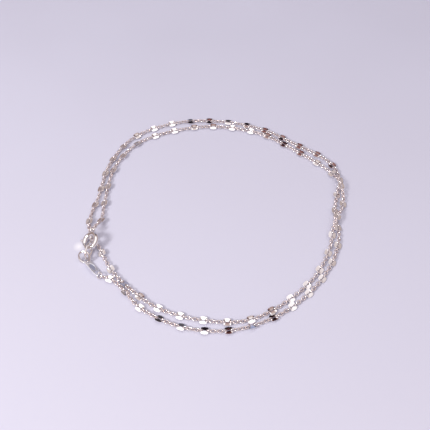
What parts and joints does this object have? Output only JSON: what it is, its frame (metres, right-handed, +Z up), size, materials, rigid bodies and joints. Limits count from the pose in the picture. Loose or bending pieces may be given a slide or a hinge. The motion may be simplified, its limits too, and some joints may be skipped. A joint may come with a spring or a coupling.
{
  "type": "link chain necklace",
  "caption": "Fine silver chain of small links with pressed petal links, closed by a spring ring and a blank end tag, lying clasped in two turns.",
  "frame": {"origin": "on the surface it lies on, below the middle of its box", "axes": "+Z up from the surface, +Y to the back of the loop, the clasp on the -X side"},
  "size_m": [0.0748, 0.0752, 0.004],
  "materials": {
    "chain_silver": "polished fine silver links",
    "clasp_silver": "high polish with fine wear",
    "bolt_silver": "polished wire",
    "ring_silver": "polished wire",
    "tag_silver": "mirror polish inside a bright rim"
  },
  "bodies": {
    "necklace": {"chain_first_turn": "chain_silver", "chain_second_turn": "chain_silver", "spring_ring": "clasp_silver", "connecting_ring": "ring_silver", "jump_ring": "ring_silver", "end_tag": "tag_silver", "tag_link": "ring_silver", "eye_link": "ring_silver"},
    "bolt": {"clasp_bolt": "bolt_silver"}
  },
  "joints": [
    {"name": "clasp_lever", "type": "hinge", "parent": "necklace", "child": "bolt", "pos_m": [-0.0344, -0.01045, 0.00191], "axis": [0.5293, 0.1458, -0.8358], "range_deg": [0, 46], "stiffness_Nm_per_rad": 0.003, "springref_deg": -11.46}
  ]
}
